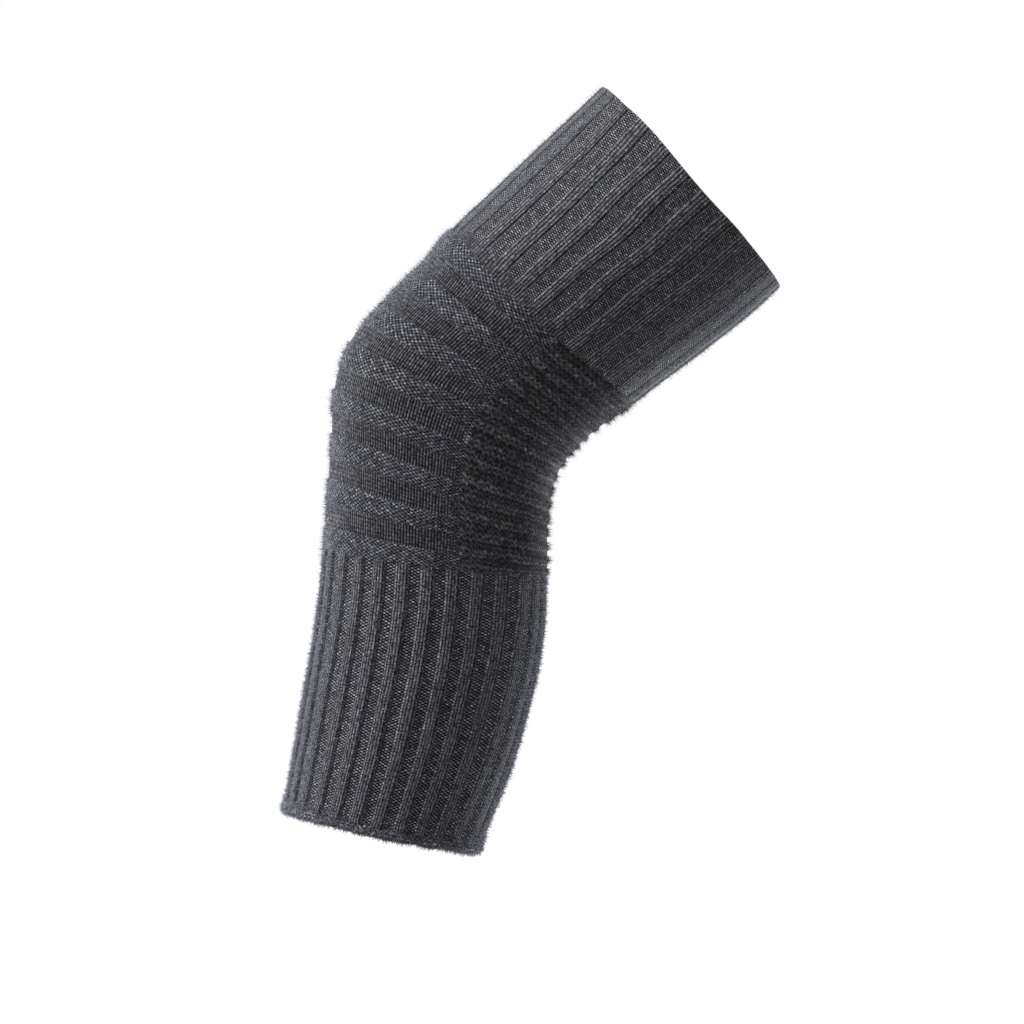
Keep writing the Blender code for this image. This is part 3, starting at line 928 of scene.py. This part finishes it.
def build_fuzz():
    """The fibres that stand off each knitted piece, by its solid's name: a short nap and long curls."""
    front = (-SEAM_WALE, SEAM_WALE)
    back = (SEAM_WALE, WALES - SEAM_WALE)
    whole = (0, WALES)
    knee = (KNEE_TOP, KNEE_BOTTOM)
    calf = (KNEE_BOTTOM, LENGTH)
    thigh_hairs = nap(25000, 0.4, 0.85, 2.8, 0.2), curls(500, 2.0, 1.2, 5.0)
    front_hairs = nap(29000, 0.5, 1.15, 3.4, 0.23), curls(900, 2.5, 1.5, 7.0)
    back_hairs = nap(12000, 0.6, 1.6, 4.2, 0.23), curls(400, 2.5, 1.5, 7.0)
    calf_hairs = nap(40000, 0.5, 1.3, 3.6, 0.24), curls(900, 2.5, 1.5, 6.0)
    hem_hairs = nap(10000, 0.5, 1.1, 4.0, 0.27), curls(400, 2.5, 1.2, 6.0)
    patches = {
        "thigh_rib": fuzz("thigh_fuzz", thigh_hairs, cloth_roots, (0.8, KNEE_TOP), whole),
        "knee_front": fuzz("knee_front_fuzz", front_hairs, cloth_roots, knee, front),
        "knee_back": fuzz("knee_back_fuzz", back_hairs, cloth_roots, knee, back),
        "calf_rib": fuzz("calf_fuzz", calf_hairs, cloth_roots, calf, whole),
        "calf_hem": fuzz("hem_fuzz", hem_hairs, hem_roots),
    }
    wool = fuzz_material("wool_fuzz", FIBRE_LIGHT, 0.6)
    # the fuzz on the back of the knee has fibres painted darker, as painted shade
    shaded_wool = fuzz_material("shaded_wool_fuzz", SHADED_FIBRE_LIGHT, 0.1)
    for node, piece in patches.items():
        tie(piece, shaded_wool if node == "knee_back" else wool)
    return patches


def declare_cloth(pieces, patches):
    """Works out the size that each piece of cloth is taken to be knitted to, in metres, and the pieces that
    go with it; the rolled hem is on the calf's ribs. Nothing is done with them."""
    knee = (KNEE_BOTTOM - KNEE_TOP) * MM
    front_share = 2 * SEAM_WALE / WALES
    cuts = {
        "thigh_rib": (THIGH_ROUND, KNEE_TOP * MM),
        "knee_front": (KNEE_ROUND * front_share, FRONT_LONGER * knee),
        "knee_back": (KNEE_ROUND * (1 - front_share), knee),
        "calf_rib": (CALF_ROUND, (LENGTH - KNEE_BOTTOM) * MM),
    }
    for node, flat in cuts.items():
        carried = [patches[node]]
        if node == "calf_rib":
            carried += [pieces["calf_hem"], patches["calf_hem"]]


# ---------------------------------------------------------------- studio

KNEE_HEIGHT = 0.46  # metres from the floor to the middle of the knee
CAMERA_PLACE = (0.035, -2.6, -0.0268)  # metres; it looks along +Y
LENS, SENSOR = 177.5, 36.0  # millimetres
FLOOR_RADIUS = 40.0  # metres
EVEN_LIGHT = 0.32  # of the white background's strength that falls on the object


def camera():
    data = bpy.data.cameras.new("photo_camera")
    data.lens = LENS
    data.sensor_width = SENSOR
    data.clip_end = 200.0
    item = bpy.data.objects.new("photo_camera", data)
    item.location = CAMERA_PLACE
    item.rotation_euler = (math.radians(90), 0, 0)
    bpy.context.scene.collection.objects.link(item)
    bpy.context.scene.camera = item


def sun(name, strength, softness, tilt, turn):
    """A distant light, with angles in degrees: tilt is from overhead, and turn is where it comes from,
    round from +X."""
    data = bpy.data.lights.new(name, "SUN")
    data.energy = strength
    data.angle = math.radians(softness)
    item = bpy.data.objects.new(name, data)
    item.rotation_euler = (math.radians(tilt), 0, math.radians(turn + 90))
    bpy.context.scene.collection.objects.link(item)


def floor():
    middle = (0, 0, -KNEE_HEIGHT)
    bpy.ops.mesh.primitive_circle_add(vertices=96, radius=FLOOR_RADIUS, fill_type="NGON", location=middle)
    item = bpy.context.object
    item.name = "pale_floor"
    item.data.materials.append(floor_material())
    item.visible_diffuse = False
    item.visible_shadow = False


def world():
    """White behind the object, and a dimmer even light on it."""
    scene = bpy.context.scene
    scene.world = bpy.data.worlds.new("studio")
    scene.world.use_nodes = True
    tree = scene.world.node_tree
    background = tree.nodes["Background"]
    background.inputs["Color"].default_value = (1.0, 1.0, 1.0, 1.0)
    path = tree.nodes.new("ShaderNodeLightPath")
    strength = tree.nodes.new("ShaderNodeMapRange")
    tree.links.new(path.outputs["Is Camera Ray"], strength.inputs["Value"])
    strength.inputs["To Min"].default_value = EVEN_LIGHT
    strength.inputs["To Max"].default_value = 1.0
    tree.links.new(strength.outputs[0], background.inputs["Strength"])


def studio():
    camera()
    world()
    floor()
    sun("key_light", strength=3.2, softness=35, tilt=52, turn=195)
    sun("right_rim", strength=5.0, softness=36, tilt=110, turn=56)
    sun("left_rim", strength=3.8, softness=34, tilt=88, turn=126)
    bpy.context.scene.view_settings.view_transform = "Standard"


studio()
declare_cloth(build_cloth(), build_fuzz())
bpy.context.view_layer.update()
